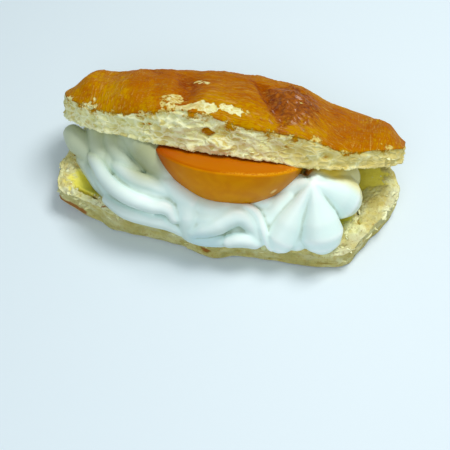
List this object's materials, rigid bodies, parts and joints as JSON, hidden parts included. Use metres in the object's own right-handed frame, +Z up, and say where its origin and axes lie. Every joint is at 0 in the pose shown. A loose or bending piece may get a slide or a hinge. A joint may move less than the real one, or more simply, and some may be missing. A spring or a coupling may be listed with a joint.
{
  "type": "filled puff pastry",
  "caption": "Long puff pastry split into a lower tray and a tilted glazed lid, filled with piped whipped cream and a peach half; lies on its flat underside",
  "frame": {"origin": "middle of the bounding box at the height of the flat underside", "axes": "+X along the pastry, -Y towards the open side that shows the filling, +Z up"},
  "size_m": [0.1447, 0.0839, 0.052],
  "materials": {
    "baked_crumb": "matte",
    "browned_crust": "satin",
    "cream": "satin",
    "peach": "glossy"
  },
  "bodies": {
    "root": {"base_pastry": "baked_crumb", "top_pastry": "browned_crust", "whipped_cream": "cream", "peach_half": "peach"}
  },
  "joints": []
}
